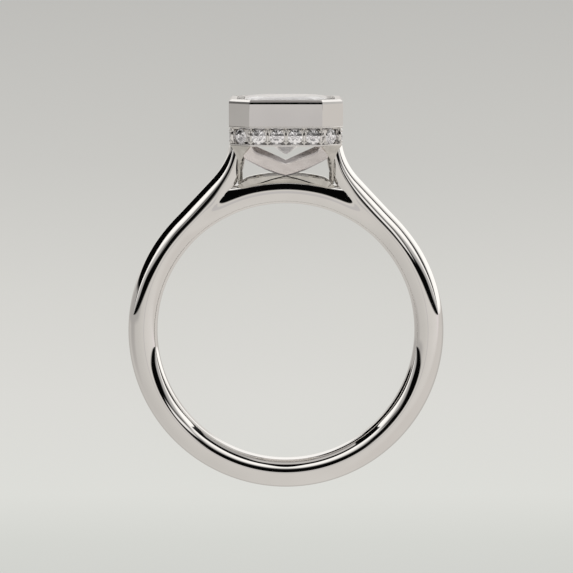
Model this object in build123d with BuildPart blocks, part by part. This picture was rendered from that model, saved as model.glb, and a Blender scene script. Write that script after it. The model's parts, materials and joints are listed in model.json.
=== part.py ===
# Cathedral setting ring in polished white metal, lying on its side as it rests by itself.
# A round band splits at each shoulder: the inner branch is the bridge over the finger, the outer
# branch is an arm that sweeps up to the head. The head is an open basket, an octagonal halo of
# small round stones and an octagonal bezel that holds one square step-cut stone.
# The part's origin is the middle of the finger hole. X runs across the ring and Y to the head,
# and Z is up from the floor: the finger's line leans from Z by the angle at which the ring rests.

import os
from math import asin, atan2, cos, degrees, hypot, radians, sin, sqrt

from build123d import *

# Finger hole and band
finger_radius = 8.25
band_outer_radius = 10.10
band_width = 1.90
band_crest_radius = 9.12

# Bridge under the head, a thinner run of the same circle
bridge_outer_radius = 9.45
bridge_inner_radius = 8.14
bridge_corner_radius = 0.32

# Shoulders: the arm leaves the circle in a straight line, then flares upright under the halo
shoulder_angle = 43.1
flare_radius = 2.75
arm_top_half = 3.56
arm_width_at_head = 1.70

# Head, an octagon: a square of this half width whose corners are cut off
head_half = 3.60
head_cut = 1.30
halo_bottom = 12.03
halo_half = 3.55
halo_bore_half = 2.76
halo_bore_cut = 0.95
halo_bore_top = 13.15
bezel_bottom = 13.15
bezel_top = 14.95
bezel_top_bevel = 0.18
bezel_foot_bevel = 0.12
bezel_mouth_half = 2.98
bezel_mouth_cut = 0.97
bezel_mouth_foot = 14.50

# Basket between the halo and the bridge
basket_foot = 9.20
basket_foot_half_length = 2.88
basket_foot_half_width = 0.58
basket_foot_cut = 0.20
basket_wall = 0.55
hollow_foot = 10.05
hollow_foot_half_length = 2.63
hollow_foot_half_width = 0.88
rail_top_radius = 10.13
rail_seam = 0.12
rail_end_angle = 18.6
rail_end_width = 2.5

# Main stone, a square step cut with cut corners
stone_table_height = 15.08
stone_culet_height = 11.31
girdle_half = 3.10
girdle_cut = 1.02
stone_gap = 0.04

# Halo stones
halo_stone_radius = 0.46
halo_stone_pitch = 1.15
halo_stone_height = 12.63
halo_seat_radius = 0.495
halo_seat_depth = 0.25
halo_seat_cone = 0.45
halo_seat_taper = 38
stones_on_side = 4
bead_radius = 0.13
bead_depth = 0.06
bead_rise = 0.33

# Sunk into its neighbour by this much where two shapes have to join
overlap = 0.02

# Resting: the floor touches the back of the band at its foot and the lowest beads of the halo
band_touch = (-band_crest_radius, 0.0)
bead_touch = (halo_stone_height - bead_rise, -(halo_half - bead_depth))
touch_span = hypot(bead_touch[0] - band_touch[0], bead_touch[1] - band_touch[1])
lean = degrees(
    atan2(band_touch[1] - bead_touch[1], bead_touch[0] - band_touch[0])
    + asin((bead_radius - band_width / 2) / touch_span)
)
lying = Location((0, 0, 0), (lean, 0, 0))


def laid(plane):
    """A plane of the upright ring, turned to where it is on the ring as it lies."""
    return Plane(lying * plane.location)


middle = laid(Plane.XY)
finger_axis = Axis((0, 0, 0), middle.z_dir)


def radial_plane(angle):
    """Cuts the band at an angle from X. Local x points away from the finger, y along it."""
    a = radians(angle)
    return laid(Plane((0, 0, 0), x_dir=(cos(a), sin(a), 0), z_dir=(sin(a), -cos(a), 0)))


def level(height):
    """Plane across the head at a height above the finger's middle."""
    return laid(Plane((0, height, 0), x_dir=(1, 0, 0), z_dir=(0, 1, 0)))


def octagon(half_length, half_width, cut):
    """Rectangle with its four corners cut off at 45 degrees."""
    x, y = half_length, half_width
    corners = [(x, cut - y), (x, y - cut), (x - cut, y), (cut - x, y)]
    Polygon(*corners, *[(-a, -b) for a, b in corners], align=None)


def facet_plane(turn, along=0.0, height=0.0):
    """Plane on a halo facet, turned about the head. Local x runs along the facet, y to the top."""
    a = radians(turn)
    corner_reach = sqrt(2) * halo_half - head_cut / sqrt(2)
    reach = halo_half if turn % 90 == 0 else corner_reach
    place = (reach * sin(a) + along * cos(a), height, reach * cos(a) - along * sin(a))
    return laid(Plane(place, x_dir=(cos(a), 0, -sin(a)), z_dir=(sin(a), 0, cos(a))))


def along_facets(extra=0):
    """Turn of each halo facet and places along it: as many as it has stones, and extra more."""
    for turn in range(0, 360, 45):
        count = (stones_on_side if turn % 90 == 0 else 1) + extra
        for step in range(count):
            yield turn, (step - (count - 1) / 2) * halo_stone_pitch


# Band and arms: one rail of oval sections, from the foot of the band round to each side, up the
# straight of the shoulder and round the flare to the halo
climb = radians(shoulder_angle)
leave = Vector(cos(climb), sin(climb)) * band_outer_radius
flare_middle_x = arm_top_half + flare_radius
straight_run = (leave.X - flare_middle_x + flare_radius * cos(climb)) / sin(climb)
flare_middle_y = leave.Y + straight_run * cos(climb) + flare_radius * sin(climb)
band_depth = 2 * (band_outer_radius - band_crest_radius)
arm_rows = [
    # share of the straight run, share of the flare, depth, width
    (0.22, 0.00, 1.60, band_width),
    (0.50, 0.00, 1.25, 1.86),
    (0.80, 0.00, 1.18, 1.82),
    (1.00, 0.25, 1.14, 1.78),
    (1.00, 0.60, 1.08, 1.74),
    (1.00, 1.00, 0.98, arm_width_at_head),
]
right_sections = []
for angle in (-90, -67, -44, -22, 0, 22, shoulder_angle):
    outward = Vector(1, 0).rotate(Axis.Z, angle)
    right_sections.append((outward * band_outer_radius, outward, band_depth, band_width))
for run_share, flare_share, depth, width in arm_rows:
    outward = Vector(1, 0).rotate(Axis.Z, shoulder_angle * (1 - flare_share))
    if flare_share:
        outer = Vector(flare_middle_x, flare_middle_y) - outward * flare_radius
    else:
        outer = leave + Vector(-sin(climb), cos(climb)) * straight_run * run_share
    right_sections.append((outer, outward, depth, width))
left_sections = [
    (Vector(-outer.X, outer.Y), Vector(-outward.X, outward.Y), depth, width)
    for outer, outward, depth, width in right_sections[:0:-1]
]
with BuildPart() as band:
    for outer, outward, depth, width in left_sections + right_sections:
        section_middle = outer - outward * depth / 2
        section = Plane(section_middle, x_dir=outward, z_dir=(-outward.Y, outward.X, 0))
        with BuildSketch(laid(section)):
            Ellipse(depth / 2, width / 2)
    loft()

# Bridge: a flat-faced section that narrows into the band at both ends
bridge_rows = [
    # angle from the top, width, corner radius
    (0, band_width, bridge_corner_radius),
    (14, band_width, bridge_corner_radius),
    (26, 1.84, 0.34),
    (36, 1.62, 0.40),
    (46, 1.30, 0.45),
]
bridge_sections = [(-turn, *rest) for turn, *rest in bridge_rows[:0:-1]] + bridge_rows
bridge_depth = bridge_outer_radius - bridge_inner_radius
with BuildPart() as bridge:
    for turn, width, corner in bridge_sections:
        with BuildSketch(radial_plane(90 - turn)):
            with Locations((bridge_inner_radius + bridge_depth / 2, 0)):
                RectangleRounded(bridge_depth, width, corner)
    loft()

# Basket: a hollow wall that narrows from the halo's octagon to the bridge, pierced from the front
# by a wide V and two triangles under it, and from the sides by one opening round each arm. The
# corners of these openings are pairs of a distance from the middle and a height.
v_corners = [(0, 10.87), (1.25, 11.26), (1.95, 11.56), (2.20, halo_bottom)]
triangle_top = [(2.45, 11.08), (2.66, 11.08)]
triangle_arc = (70, 88)
side_corners = [(0.80, 9.95), (2.62, halo_bottom)]
with BuildPart() as basket:
    with BuildSketch(level(halo_bottom + overlap)):
        octagon(halo_half, halo_half, head_cut)
    with BuildSketch(level(basket_foot)):
        octagon(basket_foot_half_length, basket_foot_half_width, basket_foot_cut)
    loft(ruled=True)
    with BuildSketch(level(halo_bottom + 2 * overlap)):
        octagon(halo_half - basket_wall, halo_half - basket_wall, head_cut - basket_wall / 2)
    with BuildSketch(level(hollow_foot)):
        octagon(hollow_foot_half_length, hollow_foot_half_width, basket_foot_cut)
    loft(ruled=True, mode=Mode.SUBTRACT)
    with BuildSketch(middle):
        with BuildLine():
            Polyline(*v_corners)
            Line(v_corners[-1], (0, halo_bottom))
            mirror(about=Plane.YZ)
        make_face()
    extrude(amount=head_half, both=True, mode=Mode.SUBTRACT)
    with BuildSketch(middle):
        with BuildLine():
            start, end = triangle_arc
            rail_top = CenterArc((0, 0), rail_top_radius, start, end - start)
            Polyline(rail_top @ 1, *triangle_top, rail_top @ 0)
        make_face()
        mirror(about=Plane.YZ)
    extrude(amount=head_half, both=True, mode=Mode.SUBTRACT)
    with BuildSketch(laid(Plane.YZ)):
        with BuildLine():
            (foot_width, foot_height), (top_width, top_height) = side_corners
            Polyline((foot_height, 0), (foot_height, foot_width), (top_height, top_width))
            Line((top_height, top_width), (top_height, 0))
            mirror(about=Plane.XZ)
        make_face()
    extrude(amount=head_half, both=True, mode=Mode.SUBTRACT)
    with BuildSketch(middle):
        Circle(rail_top_radius - rail_seam)
    extrude(amount=head_half, both=True, mode=Mode.SUBTRACT)

# Foot rails: two curved bars on the bridge, leaning out to meet the basket, joined at their ends.
# The corners of both sections are pairs of a radius and a distance along the finger.
rail_foot_radius = 9.36
rail_corners = [(rail_foot_radius, 0.36), (rail_foot_radius, 0.88), (9.50, 0.97)]
rail_corners += [(rail_top_radius, 1.44), (rail_top_radius, 1.02)]
rail_end_corners = [(rail_foot_radius, 0.50), (rail_top_radius, 1.20)]
rail_end_corners += [(rail_top_radius, -1.20), (rail_foot_radius, -0.50)]
with BuildPart() as rails:
    with BuildSketch(radial_plane(90 - rail_end_angle)):
        Polygon(*rail_corners, align=None)
        mirror(about=Plane.XZ)
    revolve(axis=finger_axis, revolution_arc=2 * rail_end_angle)
    for end_angle in (90 - rail_end_angle, 90 + rail_end_angle - rail_end_width):
        with BuildSketch(radial_plane(end_angle)):
            Polygon(*rail_end_corners, align=None)
        revolve(axis=finger_axis, revolution_arc=rail_end_width)

# Halo: the octagonal band of metal under the bezel that carries the small stones
with BuildPart() as halo:
    with BuildSketch(level(halo_bottom)):
        octagon(halo_half, halo_half, head_cut)
    extrude(amount=bezel_bottom - halo_bottom + 5 * overlap)
    for turn, along in along_facets(extra=1):
        for rise in (-bead_rise, bead_rise):
            bead_plane = facet_plane(turn, along, halo_stone_height + rise)
            with Locations(bead_plane.offset(-bead_depth)):
                Sphere(bead_radius)

# Bezel: the plain octagonal wall round the main stone, bevelled at its mouth and foot
with BuildPart() as bezel:
    with BuildSketch(level(bezel_bottom)):
        octagon(head_half, head_half, head_cut)
    extrude(amount=bezel_top - bezel_bottom)
    ends = bezel.faces().sort_by(Axis((0, 0, 0), level(0).z_dir))
    chamfer(ends[-1].edges(), bezel_top_bevel)
    ends = bezel.faces().sort_by(Axis((0, 0, 0), level(0).z_dir))
    chamfer(ends[0].edges(), bezel_foot_bevel)

# Main stone: three steps down to the girdle and three more to the point
stone_rows = [
    # height, half width, as the girdle's share
    (stone_culet_height, 0.012),
    (12.22, 0.40),
    (13.38, 0.74),
    (14.68, 1.00),
    (14.76, 1.00),
    (14.91, 0.89),
    (15.01, 0.76),
    (stone_table_height, 0.62),
]
with BuildPart() as centre_stone:
    for height, share in stone_rows:
        half = girdle_half * share
        with BuildSketch(level(height)):
            octagon(half, half, girdle_cut * share)
    loft(ruled=True)

# Room for the main stone: its own shape and a small gap, open at the bezel's mouth and below
with BuildPart() as stone_room:
    for height, share in stone_rows[1:]:
        half = girdle_half * share + stone_gap
        with BuildSketch(level(height)):
            octagon(half, half, girdle_cut * share)
    loft(ruled=True)
    with BuildSketch(level(bezel_mouth_foot)):
        octagon(bezel_mouth_half, bezel_mouth_half, bezel_mouth_cut)
    extrude(amount=bezel_top - bezel_mouth_foot + overlap)
    with BuildSketch(level(halo_bottom - overlap)):
        octagon(halo_bore_half, halo_bore_half, halo_bore_cut)
    extrude(amount=halo_bore_top - halo_bottom + overlap)

# Seats of the halo stones: a round well with a cone under it
with BuildPart() as seats:
    for turn, along in along_facets():
        seat_plane = facet_plane(turn, along, halo_stone_height).offset(-halo_seat_depth)
        with BuildSketch(seat_plane):
            Circle(halo_seat_radius)
        extrude(amount=halo_seat_depth + bead_radius)
        with BuildSketch(seat_plane):
            Circle(halo_seat_radius)
        extrude(amount=-halo_seat_cone, taper=halo_seat_taper)

# The whole mount is one casting, with the finger hole bored through it last
with BuildPart() as ring_mount:
    for piece in (halo, bezel, basket, rails, bridge, band):
        add(piece.part)
    add(stone_room.part, mode=Mode.SUBTRACT)
    add(seats.part, mode=Mode.SUBTRACT)
    with BuildSketch(middle):
        Circle(finger_radius)
    extrude(amount=band_width, both=True, mode=Mode.SUBTRACT)

os.makedirs("parts", exist_ok=True)
ring_mount.part.label = "ring_mount"
export_step(ring_mount.part, "parts/ring_mount.step")
centre_stone.part.label = "centre_stone"
export_step(centre_stone.part, "parts/centre_stone.step")

# Halo stones: an eight-sided table, crown, girdle and point
halo_stone_rows = [
    # depth under the facet, radius as a share of the girdle's
    (-0.02, 0.56),
    (0.12, 1.00),
    (0.15, 1.00),
    (0.55, 0.04),
]
for number, (turn, along) in enumerate(along_facets(), start=1):
    stone_plane = facet_plane(turn, along, halo_stone_height)
    with BuildPart() as halo_stone:
        for depth, share in halo_stone_rows:
            with BuildSketch(stone_plane.offset(-depth)):
                RegularPolygon(halo_stone_radius * share, 8)
        loft(ruled=True)
    halo_stone.part.label = f"halo_stone_{number:02d}"
    export_step(halo_stone.part, f"parts/{halo_stone.part.label}.step")
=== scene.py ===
import json
from math import atan2, cos, hypot, pi, radians, sin, sqrt

import bmesh
import bpy
from mathutils import Matrix, Vector


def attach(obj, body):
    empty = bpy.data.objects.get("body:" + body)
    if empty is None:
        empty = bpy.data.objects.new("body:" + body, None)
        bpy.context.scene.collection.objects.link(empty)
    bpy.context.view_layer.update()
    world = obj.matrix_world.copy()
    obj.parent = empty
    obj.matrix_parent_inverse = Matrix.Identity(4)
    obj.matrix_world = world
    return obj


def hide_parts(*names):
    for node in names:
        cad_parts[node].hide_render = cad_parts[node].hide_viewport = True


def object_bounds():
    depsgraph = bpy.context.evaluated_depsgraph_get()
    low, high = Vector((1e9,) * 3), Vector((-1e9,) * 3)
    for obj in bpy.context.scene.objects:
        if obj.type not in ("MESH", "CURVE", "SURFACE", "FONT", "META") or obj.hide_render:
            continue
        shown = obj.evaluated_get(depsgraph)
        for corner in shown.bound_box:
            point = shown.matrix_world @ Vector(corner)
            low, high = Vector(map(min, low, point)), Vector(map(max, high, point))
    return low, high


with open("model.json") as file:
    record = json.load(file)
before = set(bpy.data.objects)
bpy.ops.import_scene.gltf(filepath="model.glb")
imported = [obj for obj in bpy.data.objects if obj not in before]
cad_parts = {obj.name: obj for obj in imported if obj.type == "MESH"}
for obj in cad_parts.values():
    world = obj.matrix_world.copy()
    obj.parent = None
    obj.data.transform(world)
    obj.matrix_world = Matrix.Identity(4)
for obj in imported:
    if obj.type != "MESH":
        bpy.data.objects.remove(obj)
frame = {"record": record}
cad_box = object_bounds()

# The ring as it lies
# The ring is drawn upright, in millimetres: x across it, y to the head and z along the finger.
# Lying on its side it rests on the foot of the band and the edge of the head, so it leans.
finger_line = Vector(frame["record"]["mounts"][0]["axis"])
lean = atan2(-finger_line.y, finger_line.z)
MM = 0.001
LYING = Matrix.Rotation(lean, 4, "X") @ Matrix.Scale(MM, 4)


def lay_down(name, bm, slot, *stands_for):
    """The finished mesh of one piece, turned and sized to where it is on the ring as it lies."""
    bmesh.ops.recalc_face_normals(bm, faces=bm.faces)
    bmesh.ops.transform(bm, matrix=LYING, verts=bm.verts)
    mesh = bpy.data.meshes.new(name)
    bm.to_mesh(mesh)
    bm.free()
    piece = bpy.data.objects.new(name, mesh)
    bpy.context.scene.collection.objects.link(piece)
    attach(piece, "root")
    if stands_for:
        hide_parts(*stands_for)
    return piece


def sheet(bm, rows):
    """A net of quads through rows of points, the same number in each row."""
    across, along = len(rows) - 1, len(rows[0]) - 1
    net = bmesh.ops.create_grid(bm, x_segments=across, y_segments=along, size=1)
    for vert in net["verts"]:
        row = round((vert.co.x + 1) / 2 * across)
        place = round((vert.co.y + 1) / 2 * along)
        vert.co = rows[row][place]
    return net["verts"]


def fold_out(bm, *axes):
    """Mirrors what is modelled of a piece about the ring's own middle planes."""
    for axis in axes:
        everything = bm.verts[:] + bm.edges[:] + bm.faces[:]
        bmesh.ops.mirror(bm, geom=everything, matrix=Matrix(), merge_dist=0.002, axis=axis)
    bmesh.ops.remove_doubles(bm, verts=bm.verts, dist=0.002)


# Shader maths
def add_node(tree, kind, *inputs, out=0, stops=None, **settings):
    """A node with its settings, then what feeds its sockets in order: wires, values or nothing."""
    made = tree.nodes.new(kind)
    for name, value in settings.items():
        setattr(made, name, value)
    if stops:
        ramp = made.color_ramp.elements
        while len(ramp) < len(stops):
            ramp.new(0)
        for element, (position, colour) in zip(ramp, stops):
            element.position = position
            element.color = (*colour, 1)
    for socket, value in zip(made.inputs, inputs):
        if isinstance(value, Wire):
            tree.links.new(value.socket, socket)
        elif value is not None:
            socket.default_value = value
    return Wire(tree, made.outputs[out])


class Wire:
    """One output of a node. Sums and products of wires add the Math nodes for them."""

    def __init__(self, tree, socket):
        self.tree = tree
        self.socket = socket

    def node(self, kind, *inputs, **settings):
        return add_node(self.tree, kind, *inputs, **settings)

    def maths(self, operation, *values):
        return self.node("ShaderNodeMath", *values, operation=operation)

    def rise(self, low, high):
        """0 below low and 1 above high, smoothly between."""
        return self.node("ShaderNodeMapRange", self, low, high, 0, 1, interpolation_type="SMOOTHSTEP")

    def blend(self, *colours):
        """A colour from the first, where this is 0, to the second, where it is 1."""
        ends = [end if isinstance(end, Wire) else (*end, 1) for end in colours]
        return self.node("ShaderNodeMix", self, *[None] * 5, *ends, out=2, data_type="RGBA")

    def feed(self, shader, name):
        self.tree.links.new(self.socket, shader.inputs[name])

    def __add__(self, other):
        return self.maths("ADD", self, other)

    def __sub__(self, other):
        return self.maths("SUBTRACT", self, other)

    def __rsub__(self, other):
        return self.maths("SUBTRACT", other, self)

    def __mul__(self, other):
        return self.maths("MULTIPLY", self, other)

    def __truediv__(self, other):
        return self.maths("DIVIDE", self, other)

    def __abs__(self):
        return self.maths("ABSOLUTE", self)

    __radd__ = __add__
    __rmul__ = __mul__


def new_material(name):
    """An empty node material, its shader and the place on the piece as a wire."""
    material = bpy.data.materials.new(name)
    material.use_nodes = True
    tree = material.node_tree
    return material, tree.nodes["Principled BSDF"], add_node(tree, "ShaderNodeTexCoord", out=3)


# White metal
# White gold or platinum, cast, filed and buffed to a mirror. The buffing leaves the flat faces a
# hair uneven, so that what they mirror bends a little, and a few faint rubs where a finger goes.
white_metal, shader, place = new_material("white_metal")
ripple = place.node("ShaderNodeTexNoise", place, None, 420, 2, 0.5, noise_dimensions="3D")
rubs = place.node("ShaderNodeTexNoise", place, None, 2600, 3, 0.6, noise_dimensions="3D")
tone = ripple.rise(0.3, 0.7).blend((0.825, 0.81, 0.79), (0.85, 0.835, 0.815))
roughness = 0.022 + 0.03 * rubs.rise(0.45, 0.75)
bump = place.node("ShaderNodeBump", 0.05, 0.00002, None, ripple)
tone.feed(shader, "Base Color")
roughness.feed(shader, "Roughness")
bump.feed(shader, "Normal")
shader.inputs["Metallic"].default_value = 1

# The buffing wheel doesn't reach into the basket, where the same metal stays a little rougher; its colour
# there is also painted darker, as painted shade under the gallery
painted_shade_inner_metal, shader, place = new_material("painted_shade_inner_metal")
cast_skin = place.node("ShaderNodeTexNoise", place, None, 1500, 3, 0.6, noise_dimensions="3D")
tone = cast_skin.rise(0.35, 0.65).blend((0.60, 0.585, 0.55), (0.72, 0.70, 0.66))
roughness = 0.05 + 0.06 * cast_skin
bump = place.node("ShaderNodeBump", 0.12, 0.00002, None, cast_skin)
tone.feed(shader, "Base Color")
roughness.feed(shader, "Roughness")
bump.feed(shader, "Normal")
shader.inputs["Metallic"].default_value = 1


# Band, arms and bridge
# One casting: a round bright band whose shoulders split into an arm that sweeps up to the head
# and a flat-faced bridge over the finger. The crotch between them is filed to a smooth hollow.
FINGER = 8.25
BAND_OUTER = 10.10
CREST = 9.12
HALF_WIDTH = 0.95
CLIMB = radians(43.1)
FLARE = 3.8
ARM_TOP = 3.56
leave = Vector((cos(CLIMB), sin(CLIMB))) * BAND_OUTER
straight = (leave.x - ARM_TOP - FLARE + FLARE * cos(CLIMB)) / sin(CLIMB)
flare_middle = leave + Vector((-sin(CLIMB), cos(CLIMB))) * straight
flare_middle += Vector((cos(CLIMB), sin(CLIMB))) * FLARE
# A closed cage of twelve points shrinks by this much when it is smoothed
SWELL = 1 / 0.9553
LAND_SWELL = 1.002


def arm_edge(run):
    """Point on the arm's outer line and the way out from it, that far up from the circle."""
    if run <= straight:
        outward = Vector((cos(CLIMB), sin(CLIMB)))
        return leave + Vector((-sin(CLIMB), cos(CLIMB))) * run, outward
    angle = max(CLIMB - (run - straight) / FLARE, -0.2)
    outward = Vector((cos(angle), sin(angle)))
    return flare_middle - outward * FLARE, outward


def on_arm(run, turn, crest, depth, half_width):
    """Cage point of the arm's section, turned from its outer side. The crest lies that far in."""
    edge, outward = arm_edge(run)
    if turn <= 90:
        reach = crest * (1 - SWELL * cos(radians(turn)))
        wide = SWELL * sin(radians(turn))
    else:
        share, wide = {112: (0.62, 1.0), 138: (1.03, 0.86), 160: (1.06, 0.46), 180: (1.06, 0)}[turn]
        reach = crest + (depth - crest) * share
    point = edge - outward * reach
    return Vector((point.x, point.y, wide * half_width))


def on_circle(radius, angle, z):
    return Vector((radius * cos(radians(angle)), radius * sin(radians(angle)), z))


def band_row(angle):
    """Half section of the band, from the middle of the finger hole's wall to the outer side."""
    semi = BAND_OUTER - CREST
    row = [on_circle(FINGER * LAND_SWELL, angle, z) for z in (0, 0.44)]
    for turn in (137, 121, 106):
        radius = CREST + 1.01 * semi * cos(radians(turn))
        row.append(on_circle(radius * LAND_SWELL, angle, 1.01 * HALF_WIDTH * sin(radians(turn))))
    for turn in (90, 60, 30, 0):
        radius = CREST + SWELL * semi * cos(radians(turn))
        row.append(on_circle(radius * LAND_SWELL, angle, SWELL * HALF_WIDTH * sin(radians(turn))))
    return row


# radius and half width of the bridge's flat face, from the finger hole's wall outwards
bridge_face = [(FINGER * LAND_SWELL, 0), (FINGER * LAND_SWELL, 0.62), (8.47, 0.90), (8.83, 0.975)]
OUTER_TURNS = (90, 60, 30, 0)
INNER_TURNS = (180, 160, 138, 112)
split_angle = 61.0
crotch = [Vector((4.36, 8.26, 0.965)), Vector((3.68, 9.08, 0.88)), Vector((3.41, 9.43, 0.70)),
          Vector((3.28, 9.58, 0))]
split_row = [on_circle(radius, split_angle, z) for radius, z in bridge_face] + crotch[:1]
split_row += [on_arm(3.05, turn, 0.89, 1.30, 0.95) for turn in OUTER_TURNS]

band_angles = [-90 + step * 133.1 / 18 for step in range(19)]
rail_rows = [band_row(angle) for angle in band_angles]
shoulder_rows = [
    # share of the way to the split, angle at the finger hole, run up the arm, how far in its crest is
    (0.25, 47.6, 0.76, 0.95),
    (0.50, 52.2, 1.52, 0.95),
    (0.75, 56.6, 2.28, 0.93),
]
for share, angle, run, crest in shoulder_rows:
    start = band_row(angle)[:5]
    end = [on_circle(radius, angle, z) for radius, z in bridge_face + [(9.27, 0.965)]]
    row = [a.lerp(b, share) for a, b in zip(start, end)]
    rail_rows.append(row + [on_arm(run, turn, crest, 0, 0.95) for turn in OUTER_TURNS])
rail_rows.append(split_row)

bridge_rows = [split_row[:4] + crotch]
bridge_tops = [
    # angle, then radius and half width of the face's edge, of the slope's end and of the top
    (66.5, (9.27, 0.965), (10.00, 0.855), (10.13, 0.65), (10.08, 0)),
    (71.0, (9.29, 0.965), (9.80, 0.875), (9.90, 0.68), (9.86, 0)),
    (76.0, (9.31, 0.965), (9.70, 0.89), (9.77, 0.70), (9.75, 0)),
    (83.0, (9.31, 0.965), (9.69, 0.89), (9.75, 0.70), (9.73, 0)),
    (90.0, (9.31, 0.965), (9.69, 0.89), (9.75, 0.70), (9.73, 0)),
]
for angle, *top in bridge_tops:
    bridge_rows.append([on_circle(radius, angle, z) for radius, z in bridge_face + top])

arm_rows = [crotch[:0:-1] + split_row[4:]]
arm_stations = [
    # run up the arm, how far ahead its inner side is, its crest's depth, whole depth, half width
    (3.70, 0.55, 0.79, 1.33, 0.94),
    (4.30, 0.40, 0.66, 1.36, 0.93),
    (4.90, 0.25, 0.57, 1.30, 0.91),
    (5.50, 0.12, 0.54, 1.20, 0.89),
    (6.10, 0.05, 0.53, 1.10, 0.87),
    (6.75, 0.00, 0.52, 1.02, 0.85),
]
for run, ahead, crest, depth, half_width in arm_stations:
    row = [on_arm(run + ahead * (turn - 90) / 90, turn, crest, depth, half_width) for turn in INNER_TURNS]
    arm_rows.append(row + [on_arm(run, turn, crest, depth, half_width) for turn in OUTER_TURNS])

bm = bmesh.new()
for rows in (rail_rows, bridge_rows, arm_rows):
    sheet(bm, rows)
for vert in bm.verts:
    vert.co.x = 0 if abs(vert.co.x) < 0.001 else vert.co.x
fold_out(bm, "X", "Z")
bmesh.ops.holes_fill(bm, edges=[e for e in bm.edges if e.is_boundary], sides=0)
crease = bm.edges.layers.float.new("crease_edge")
for edge in bm.edges:
    on_wall = all(abs(hypot(v.co.x, v.co.y) - FINGER * LAND_SWELL) < 0.001 for v in edge.verts)
    if on_wall and all(abs(v.co.z) > 0.2 for v in edge.verts):
        edge[crease] = 0.7
for face in bm.faces:
    face.smooth = True
shank = lay_down("band_arms_and_bridge", bm, "white_metal", "ring_mount")
shank.data.materials.append(white_metal)
smooth = shank.modifiers.new("smoothed", "SUBSURF")
smooth.levels = smooth.render_levels = 3
smoothed = shank.evaluated_get(bpy.context.evaluated_depsgraph_get())
shank.data = bpy.data.meshes.new_from_object(smoothed)
shank.modifiers.clear()

def polish(bm, angle=32):
    """Smooth shading everywhere but over the edges that are left crisp."""
    for face in bm.faces:
        face.smooth = True
    for edge in bm.edges:
        edge.smooth = edge.is_manifold and edge.calc_face_angle(0) < radians(angle)


def round_over(bm, width, segments=2, angle=25):
    """Buffs the sharp edges of a filed piece, which stay crisp beside its flat faces."""
    sharp = [e for e in bm.edges if e.is_manifold and e.calc_face_angle(0) > radians(angle)]
    made = bmesh.ops.bevel(bm, geom=sharp, offset=width, offset_type="OFFSET", segments=segments, profile=0.5,
                           affect="EDGES", material=-1, clamp_overlap=True)
    for face in made["faces"]:
        face.smooth = True


# Foot rails
# A pair of curved bars on the bridge, joined at their rounded ends, which carry the gallery.
# They are soldered down, and each is lowest at its ends and crossed by the gallery in the middle.
RAIL_TOP = 10.13
RAIL_FOOT = 9.55
RAIL_HALF = 0.86
RAIL_END = 3.22
RAIL_TURN = 0.62
path = [(x / 12 * (RAIL_END - RAIL_TURN), RAIL_HALF, 0, 1) for x in range(13)]
for step in range(1, 7):
    turn = radians(step * 15)
    path.append((RAIL_END - RAIL_TURN + RAIL_TURN * sin(turn), RAIL_HALF - RAIL_TURN + RAIL_TURN * cos(turn),
                 sin(turn), cos(turn)))
path.append((RAIL_END, 0, 1, 0))
rail_stations = []
for length, depth, out_x, out_z in path:
    # the gallery's curve runs on down the rail's face as a fine upright ledge, until it runs out
    ledge = max(9.72, 10.06 - 0.20 * length)
    ledge_out = 0.22 + (ledge - 9.70) * 0.78
    step = 0.07 * min(1, max(0, (1.9 - length) / 0.4))
    section = [
        # radius, way out from the rail's middle line
        (RAIL_FOOT, 0.0), (9.62, 0.14), (ledge - 1.1 * step - 0.005, ledge_out - 0.5 * step),
        (ledge - step, ledge_out + 0.13 * step), (ledge, ledge_out), (RAIL_TOP - 0.05, 0.51),
        (RAIL_TOP, 0.46), (RAIL_TOP - 0.01, 0.14), (9.95, 0.04), (RAIL_FOOT, -0.14), (RAIL_FOOT, 0.0),
    ]
    low = RAIL_TOP - 0.36 * max(0, (length - 2.45) / (RAIL_END - 2.45)) ** 1.5
    station = []
    for radius, out in section:
        share = (radius - RAIL_FOOT) / (RAIL_TOP - RAIL_FOOT)
        radius = RAIL_FOOT + (low - RAIL_FOOT) * share
        angle = pi / 2 - (length + out * out_x * (1 - 0.75 * out_x)) / RAIL_TOP
        station.append(Vector((radius * cos(angle), radius * sin(angle), depth + out * out_z)))
    rail_stations.append(station)
bm = bmesh.new()
sheet(bm, rail_stations)
bmesh.ops.remove_doubles(bm, verts=bm.verts, dist=0.002)
fold_out(bm, "X", "Z")
polish(bm, 22)
rails = lay_down("foot_rails", bm, "white_metal", "ring_mount")
rails.data.materials.append(painted_shade_inner_metal)

# Gallery
# The pierced wall between the halo and the bridge: a wide V in front and behind, two windows
# under it and a post at each corner. It is cut from flat stock, bent at the corners and soldered.
gallery_metal, shader, place = new_material("gallery_metal")
grain = place.node("ShaderNodeTexNoise", place, None, 1800, 3, 0.6, noise_dimensions="3D")
tone = grain.rise(0.35, 0.65).blend((0.88, 0.835, 0.825), (0.93, 0.89, 0.88))
roughness = 0.2 + 0.06 * grain
bump = place.node("ShaderNodeBump", 0.08, 0.00002, None, grain)
tone.feed(shader, "Base Color")
roughness.feed(shader, "Roughness")
bump.feed(shader, "Normal")
shader.inputs["Metallic"].default_value = 1
GALLERY_TOP = 12.06
GALLERY_FOOT = 9.45
GALLERY_WALL = 0.28


def front_wall(x, y, depth=0.0):
    """Point on the sloping front of the gallery, or that deep in it."""
    return Vector((x, y + 0.724 * depth, 3.55 + (y - 12.03) * 1.0495 - 0.69 * depth))


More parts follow.
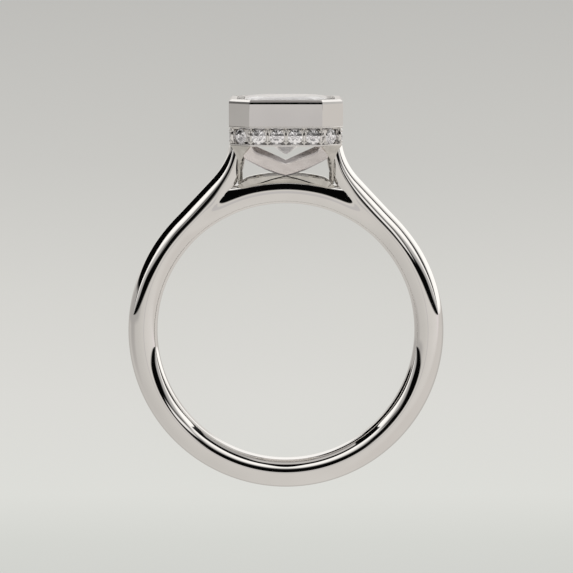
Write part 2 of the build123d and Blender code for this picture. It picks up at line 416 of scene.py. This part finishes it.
v_line = [
    # x of upper edge, its height, x of lower edge, its height
    (0, 10.84, 0, 10.02),
    (0.40, 10.985, 0.44, 10.15),
    (0.80, 11.125, 0.88, 10.32),
    (1.20, 11.265, 1.22, 10.45),
    (1.55, 11.385, 1.74, 10.72),
    (1.84, 11.51, 2.14, 10.94),
    (2.02, 11.64, 2.42, 11.10),
    (2.12, 11.82, 2.58, 11.21),
    (2.18, GALLERY_TOP, 2.66, 11.34),
]
bm = bmesh.new()
faces = []
for upper_x, upper_y, lower_x, lower_y in v_line:
    upper, lower = Vector((upper_x, upper_y)), Vector((lower_x, lower_y))
    inner_top = upper_y - 0.724 * GALLERY_WALL + 0.08 * min(upper_x, 1.5)
    lip = front_wall(lower_x, lower_y + 0.09)
    row = [front_wall(*upper), lip, lip + Vector((0, -0.09, 0.012)), front_wall(*lower, GALLERY_WALL)]
    row += [front_wall(upper_x, inner_top, GALLERY_WALL), row[0]]
    faces.append(row)
sheet(bm, faces)
bmesh.ops.remove_doubles(bm, verts=bm.verts, dist=0.002)
fold_out(bm, "X", "Z")
bmesh.ops.holes_fill(bm, edges=[e for e in bm.edges if e.is_boundary], sides=0)
bmesh.ops.recalc_face_normals(bm, faces=bm.faces)
polish(bm, 22)
gallery = lay_down("gallery_v_rails", bm, "white_metal", "ring_mount")
gallery.data.materials.append(gallery_metal)

# Corner brackets and posts
# At each corner the gallery's wall turns a cut corner that tapers from the halo to a thin post.
corner_line = [
    # height, half width of the bracket or post
    (GALLERY_TOP, 0.92), (11.75, 0.60), (11.40, 0.34), (11.05, 0.15), (10.80, 0.09), (10.3, 0.08),
    (9.9, 0.09), (GALLERY_FOOT, 0.11),
]
bm = bmesh.new()
rows = []
for height, half_width in corner_line:
    down = (12.03 - height) / (12.03 - 9.2)
    middle_x = 2.90 + 0.08 * min(1, 2 * down)
    middle_z = 2.90 + (0.48 - 2.90) * down
    row = []
    for side, depth in ((-1, 0), (1, 0), (1, 0.3), (-1, 0.3), (-1, 0)):
        row.append(Vector((middle_x + side * half_width * 0.707 - depth * 0.55, height,
                           middle_z - side * half_width * 0.707 - depth * 0.55)))
    rows.append(row)
sheet(bm, rows)
bmesh.ops.remove_doubles(bm, verts=bm.verts, dist=0.002)
bmesh.ops.holes_fill(bm, edges=[e for e in bm.edges if e.is_boundary], sides=0)
bmesh.ops.recalc_face_normals(bm, faces=bm.faces)
round_over(bm, 0.03)
fold_out(bm, "X", "Z")
posts = lay_down("gallery_posts", bm, "white_metal", "ring_mount")
posts.data.materials.append(painted_shade_inner_metal)


# Halo band
# The octagonal channel that the small stones sit in: a thin rail under them, a lip over them,
# and between each pair an upright with a bead raised over the stones' edges at either end.
HALO_HALF = 3.55
HEAD_CUT = 1.30
HALO_FOOT = 12.03
HALO_TOP = 13.16
STONE_HEIGHT = 12.63
PITCH = 1.15


def octagonal_wall(bm, profile):
    """A closed wall round the head. Each line of its profile is how far in it is, and how high."""
    loops = []
    for half, cut, height in profile:
        made = bmesh.ops.create_circle(bm, cap_ends=False, segments=8, radius=1)
        for number, vert in enumerate(made["verts"]):
            turn = radians(number * 45 + 22.5)
            x, z = cos(turn), sin(turn)
            wide = abs(x) > abs(z)
            vert.co = Vector(((half if wide else half - cut) * (1 if x > 0 else -1), height,
                              (half - cut if wide else half) * (1 if z > 0 else -1)))
        loops.append(list({e for v in made["verts"] for e in v.link_edges}))
    for low, high in zip(loops, loops[1:] + loops[:1]):
        bmesh.ops.bridge_loops(bm, edges=low + high)


def inset(half, cut, line):
    return [(half - depth, cut - 0.586 * depth, height) for depth, height in line]


bm = bmesh.new()
octagonal_wall(bm, inset(HALO_HALF, HEAD_CUT, [
    (0.06, HALO_FOOT), (0, HALO_FOOT + 0.04), (0, HALO_FOOT + 0.11), (0.08, HALO_FOOT + 0.15),
    (0.58, HALO_FOOT + 0.24), (0.60, HALO_TOP - 0.14), (0.12, HALO_TOP - 0.07), (0.03, HALO_TOP),
    (0.79, HALO_TOP), (0.79, HALO_FOOT + 0.04),
]))
bmesh.ops.recalc_face_normals(bm, faces=bm.faces)
round_over(bm, 0.012, 1)
halo = lay_down("halo_channel", bm, "white_metal", "ring_mount")
halo.data.materials.append(white_metal)

CORNER_REACH = (2 * HALO_HALF - HEAD_CUT) / sqrt(2)
places = []
for quarter in range(4):
    turn = Matrix.Rotation(radians(90 * quarter), 4, "Y")
    for along in (-PITCH, 0, PITCH):
        places.append(turn @ Matrix.Translation((along, STONE_HEIGHT, HALO_HALF)))
    for side in (-1, 1):
        corner = Vector((side * (HALO_HALF - HEAD_CUT), STONE_HEIGHT, HALO_HALF))
        places.append(turn @ Matrix.Translation(corner) @ Matrix.Rotation(radians(22.5 * side), 4, "Y"))
bm = bmesh.new()
for place_on in places:
    upright = bmesh.ops.create_cube(bm, size=1)["verts"]
    bmesh.ops.scale(bm, vec=(0.15, 0.98, 0.56), verts=upright)
    edges = list({e for v in upright for e in v.link_edges})
    shaped = bmesh.ops.bevel(bm, geom=edges, offset=0.055, offset_type="OFFSET", segments=2, profile=0.5,
                             affect="EDGES", material=-1)
    bmesh.ops.transform(bm, matrix=place_on @ Matrix.Translation((0, 0, -0.34)), verts=shaped["verts"])
    for rise in (-0.33, 0.33):
        for side in (-0.085, 0.085):
            bead = bmesh.ops.create_icosphere(bm, subdivisions=2, radius=0.085)["verts"]
            bmesh.ops.transform(bm, matrix=place_on @ Matrix.Translation((side, rise, -0.075)), verts=bead)
for face in bm.faces:
    face.smooth = True
beads = lay_down("halo_uprights_and_beads", bm, "white_metal", "ring_mount")
beads.data.materials.append(white_metal)

# Bezel
# A plain octagonal wall, sawn and filed from thick stock, rubbed over the centre stone's edge.
# Its mouth is bevelled, and a fine lip at its foot sits on the halo.
BEZEL_HALF = 3.60
BEZEL_FOOT = 13.15
BEZEL_TOP = 14.95
bm = bmesh.new()
octagonal_wall(bm, inset(BEZEL_HALF, HEAD_CUT, [
    (0.06, BEZEL_FOOT), (0.0, BEZEL_FOOT + 0.05), (0.0, BEZEL_FOOT + 0.10), (0.025, BEZEL_FOOT + 0.13),
    (0.025, BEZEL_FOOT + 0.14), (0.0, BEZEL_FOOT + 0.15), (0.0, BEZEL_TOP - 0.26),
    (0.022, BEZEL_TOP - 0.125), (0.17, BEZEL_TOP),
    (0.50, BEZEL_TOP), (0.60, BEZEL_TOP - 0.42), (0.84, BEZEL_TOP - 0.60), (0.84, BEZEL_FOOT),
]))
bmesh.ops.recalc_face_normals(bm, faces=bm.faces)
round_over(bm, 0.012, 2, 20)
bezel = lay_down("bezel", bm, "white_metal", "ring_mount")
bezel.data.materials.append(white_metal)

# Halo stones
# Twenty small round brilliants, each with a table, eight kites, stars and a pointed pavilion,
# set in the channel with the table outwards and held by the beads over their edges.
clear_stone, shader, place = new_material("clear_stone")
cloud = place.node("ShaderNodeTexNoise", place, None, 900, 2, 0.5, noise_dimensions="3D")
tint = cloud.rise(0.3, 0.7).blend((0.97, 0.96, 0.97), (1.0, 1.0, 1.0))
# Their upper facets look into the dark gap over the ring. Black flecks painted into their colour near the
# upper edge of the row stand for that as a painted dark reflection, and everywhere else they glow faintly by
# emission, a painted glint
height = place.node("ShaderNodeVectorMath", place, (0, 1000 * cos(lean), 1000 * sin(lean)), out=1,
                    operation="DOT_PRODUCT")
fleck = place.node("ShaderNodeTexNoise", place, None, 3300, 2, 0.5, noise_dimensions="3D")
dark = (height - 12.68).rise(0, 0.05) * (13.05 - height).rise(0, 0.04) * fleck.rise(0.46, 0.5)
tint = dark.blend(tint, (0.01, 0.01, 0.01))
# The faint painted glow from emission, left out where the painted dark flecks are
painted_glint = dark.blend((1.0, 0.965, 0.98), (0, 0, 0))
tint.feed(shader, "Base Color")
painted_glint.feed(shader, "Emission Color")
shader.inputs["Roughness"].default_value = 0
shader.inputs["IOR"].default_value = 2.42
shader.inputs["Transmission Weight"].default_value = 1
shader.inputs["Emission Strength"].default_value = 0.05
STONE = 0.46
brilliant = [
    # how deep from the halo's face, share of the radius, corners, turn
    (-0.02, 0.57, 8, 0), (0.025, 0.76, 8, 22.5), (0.08, 1, 16, 11.25), (0.11, 1, 16, 11.25),
    (0.391, 0.42, 8, 22.5), (0.57, 0.03, 8, 0),
]
seats = []
for turn in range(0, 360, 45):
    rows_along = (-1.5, -0.5, 0.5, 1.5) if turn % 90 == 0 else (0,)
    for along in rows_along:
        reach = HALO_HALF if turn % 90 == 0 else CORNER_REACH
        seats.append(Matrix.Rotation(radians(turn), 4, "Y")
                     @ Matrix.Translation((along * PITCH, STONE_HEIGHT, reach)))
for number, seat in enumerate(seats, 1):
    bm = bmesh.new()
    for depth, share, corners, turn in brilliant:
        bmesh.ops.create_circle(bm, cap_ends=False, segments=corners, radius=STONE * share,
                                matrix=seat @ Matrix.Translation((0, 0, -depth))
                                @ Matrix.Rotation(radians(turn), 4, "Z"))
    bmesh.ops.delete(bm, geom=bm.edges[:], context="EDGES_FACES")
    bmesh.ops.convex_hull(bm, input=bm.verts)
    bmesh.ops.dissolve_limit(bm, angle_limit=radians(1), verts=bm.verts, edges=bm.edges)
    stone = lay_down(f"small_brilliant_{number:02d}", bm, "clear_stone", f"halo_stone_{number:02d}")
    stone.data.materials.append(clear_stone)

# Centre stone
# A square step cut with cut corners, held by the bezel, with its point just under the halo.
large_stone, shader, place = new_material("large_clear_stone")
# It glows faintly by emission, in noise patches of brighter and dimmer glow: a painted sparkle
painted_glint = place.node("ShaderNodeTexNoise", place, None, 3200, 2, 0.6, noise_dimensions="3D")
painted_sparkle = painted_glint.rise(0.35, 0.65).blend((0.48, 0.465, 0.47), (0.68, 0.665, 0.67))
painted_sparkle.feed(shader, "Emission Color")
shader.inputs["Emission Strength"].default_value = 0.2
shader.inputs["Base Color"].default_value = (1, 1, 1, 1)
shader.inputs["Roughness"].default_value = 0
shader.inputs["IOR"].default_value = 2.42
shader.inputs["Transmission Weight"].default_value = 1
for slot in bpy.data.objects["centre_stone"].material_slots:
    slot.material = large_stone

# Camera and view transform
camera = bpy.data.objects.new("camera", bpy.data.cameras.new("camera"))
bpy.context.scene.collection.objects.link(camera)
bpy.context.scene.camera = camera
FRAME_PIXELS = 573
PIXELS_PER_SLOPE = 3588
SENSOR = 36
eye = LYING @ Vector((0.038, 26.2, 228.5))
aim = LYING @ Vector((0.038, 2.85, 0))
back = (eye - aim).normalized()
right = Vector((1, 0, 0))
camera.matrix_world = Matrix.Translation(eye) @ Matrix((right, back.cross(right), back)).transposed().to_4x4()
camera.data.sensor_width = SENSOR
camera.data.lens = SENSOR * PIXELS_PER_SLOPE / FRAME_PIXELS
camera.data.clip_start = 0.01
camera.data.clip_end = 50
bpy.context.scene.view_settings.view_transform = "Standard"

# Studio
world = bpy.data.worlds.new("studio")
bpy.context.scene.world = world
world.use_nodes = True
tree = world.node_tree
sky = add_node(tree, "ShaderNodeTexCoord")
card_lean = lean + radians(5.84)
side, up, front, to_card = (
    sky.node("ShaderNodeVectorMath", sky, way, out=1, operation="DOT_PRODUCT")
    for way in ((1, 0, 0), (0, cos(lean), sin(lean)), (0, -sin(lean), cos(lean)),
                (0, -sin(card_lean), cos(card_lean))))
climb_angle = sky.maths("ARCTAN2", up, front) * (180 / pi)
away = abs(side)
# The white studio in front and below, a little dimmer to the left and behind
BLACK = (0.002, 0.002, 0.002)
studio = sky.node("ShaderNodeValToRGB", side * 0.5 + 0.5, stops=[
    (0.0, (0.46, 0.445, 0.43)), (0.02, (0.50, 0.48, 0.46)), (0.06, (0.60, 0.58, 0.555)),
    (0.30, (0.655, 0.635, 0.605)), (0.5, (0.695, 0.67, 0.64)), (0.75, (0.735, 0.71, 0.68)),
    (0.95, (0.79, 0.76, 0.735)), (1.0, (0.84, 0.78, 0.785))])
studio = (side.rise(0.2, 0.5) * (0 - climb_angle).rise(15, 40)).blend(studio, (0.68, 0.65, 0.62))
studio = ((0 - front).rise(0.4, 0.95) * (0 - up).rise(-0.03, 0.05)).blend(studio, (0.50, 0.48, 0.455))
studio = ((0 - side).rise(0.45, 0.8) * (up + 0.08).rise(0, 0.05)).blend(studio, (0.45, 0.435, 0.42))
studio = ((0 - front).rise(0.6, 0.9) * up.rise(0.05, 0.1)).blend(studio, (1.0, 0.98, 0.95))
# What is over the ring: a dark gap, a long soft light across it, a second gap and the far side
left = 0 - side
black_from = 1.5 - 2 * away * away + 3 * away.rise(0.1, 0.15) * (0 - away).rise(-0.28, -0.22)
light_from = 31 - 14 * away.rise(0.08, 0.62) - 7 * away.rise(0.76, 0.88)
light_from = light_from + 4 * away.rise(0.34, 0.42) - 3 * away.rise(0.54, 0.62)
light_to = 41.5 + 7 * away.rise(0, 0.15) - 3 * away.rise(0.45, 0.6)
light_to = light_to + 33 * away.rise(0.64, 0.78) - 26 * away.rise(0.79, 0.93)
gap_to = 61 + 5 * side.rise(0.2, 0.35) + 28 * side.rise(0.62, 0.75) + 200 * left.rise(0.52, 0.8)
glow = (climb_angle - 5 * away.rise(0.5, 0.65)).rise(22, 42).blend((0.50, 0.49, 0.48), (1.2, 1.18, 1.15))
soft_light = (climb_angle - light_from).rise(-3, 5).blend(BLACK, glow)
overhead = (climb_angle - 74).rise(0, 6).blend((0.6, 0.58, 0.56), (0.31, 0.295, 0.29))
overhead = (climb_angle - 105).rise(0, 15).blend(overhead, (1.2, 1.18, 1.16))
far_left = left.rise(0.6, 0.66) * (1 - left.rise(0.89, 0.95) * (climb_angle - 95).rise(0, 30))
behind_left = left.rise(0.25, 0.35) * (climb_angle - 92).rise(0, 8)
overhead = far_left.maths("MAXIMUM", far_left, behind_left).blend(overhead, BLACK)
far_right = (climb_angle - 85).rise(0, 50).blend((0.42, 0.41, 0.40), (1.22, 1.2, 1.17))
overhead = side.rise(0.2, 0.45).blend(overhead, far_right)
overhead = (up.rise(0.63, 0.69) * (0 - front).rise(0.2, 0.3)).blend(overhead, (1.1, 1.08, 1.06))
gap = side.rise(0.62, 0.8).blend(BLACK, (0.05, 0.05, 0.05))
high = (climb_angle - light_to).rise(-1.5, 1.5).blend(soft_light, gap)
high = (climb_angle - gap_to).rise(-2, 4).blend(high, overhead)
# A small lamp low on the right, a dim patch at either side and a grey card straight ahead
lamp = side.rise(0.36, 0.42) * (0 - side).rise(-0.53, -0.48)
lamp = lamp * (climb_angle - 10).rise(0, 2.5) * (26 - climb_angle).rise(0, 4)
high = lamp.blend(high, (1.0, 0.98, 0.96))
dim = away.rise(0.5, 0.54) * (0 - away).rise(-0.64, -0.58) * (climb_angle - 15).rise(0, 4)
dim = dim * (35 - climb_angle).rise(0, 5)
high = dim.blend(high, (0.15, 0.145, 0.14))
curl = away.rise(0.15, 0.19) * (0 - away).rise(-0.29, -0.25) * (9.5 - climb_angle).rise(0, 2)
high = curl.blend(high, (0.15, 0.145, 0.14))
ahead = up.maths("MAXIMUM", front.rise(-0.06, 0.06), (up + 0.15 * side.rise(0.2, 0.5)).rise(0.13, 0.2))
light = ((climb_angle - black_from).rise(-1.2, 1.2) * ahead).blend(studio, high)
light = to_card.rise(0.9975, 0.9992).blend(light, (0.585, 0.565, 0.56))
light.feed(tree.nodes["Background"], "Color")

# Floor
bm = bmesh.new()
bmesh.ops.create_grid(bm, x_segments=1, y_segments=1, size=3)
bmesh.ops.translate(bm, vec=(0, 0, cad_box[0].z), verts=bm.verts)
mesh = bpy.data.meshes.new("floor")
bm.to_mesh(mesh)
bm.free()
floor = bpy.data.objects.new("floor", mesh)
bpy.context.scene.collection.objects.link(floor)
floor_material, shader, place = new_material("pale_floor")
# The floor glows by its own emission, and its colour ramp paints the light on it: brightest in a band under
# the foot of the ring's band, dimmer towards the head's side and beyond the foot. Its dark base colour takes
# only faint shadows from the studio light
along = place.node("ShaderNodeSeparateXYZ", place, out=1)
painted_floor_light = along.node("ShaderNodeValToRGB", along / 0.044 + 0.5, stops=[
    (0.0, (0.57, 0.575, 0.55)), (0.10, (0.63, 0.635, 0.61)), (0.19, (0.67, 0.68, 0.645)),
    (0.26, (0.735, 0.74, 0.705)), (0.40, (0.72, 0.715, 0.685)), (0.55, (0.675, 0.67, 0.64)),
    (0.75, (0.585, 0.58, 0.555)), (1.0, (0.51, 0.505, 0.485))])
painted_floor_light.feed(shader, "Emission Color")
shader.inputs["Emission Strength"].default_value = 0.92
shader.inputs["Base Color"].default_value = (0.09, 0.09, 0.088, 1)
shader.inputs["Roughness"].default_value = 0.9
shader.inputs["Specular IOR Level"].default_value = 0
mesh.materials.append(floor_material)
floor.visible_glossy = False
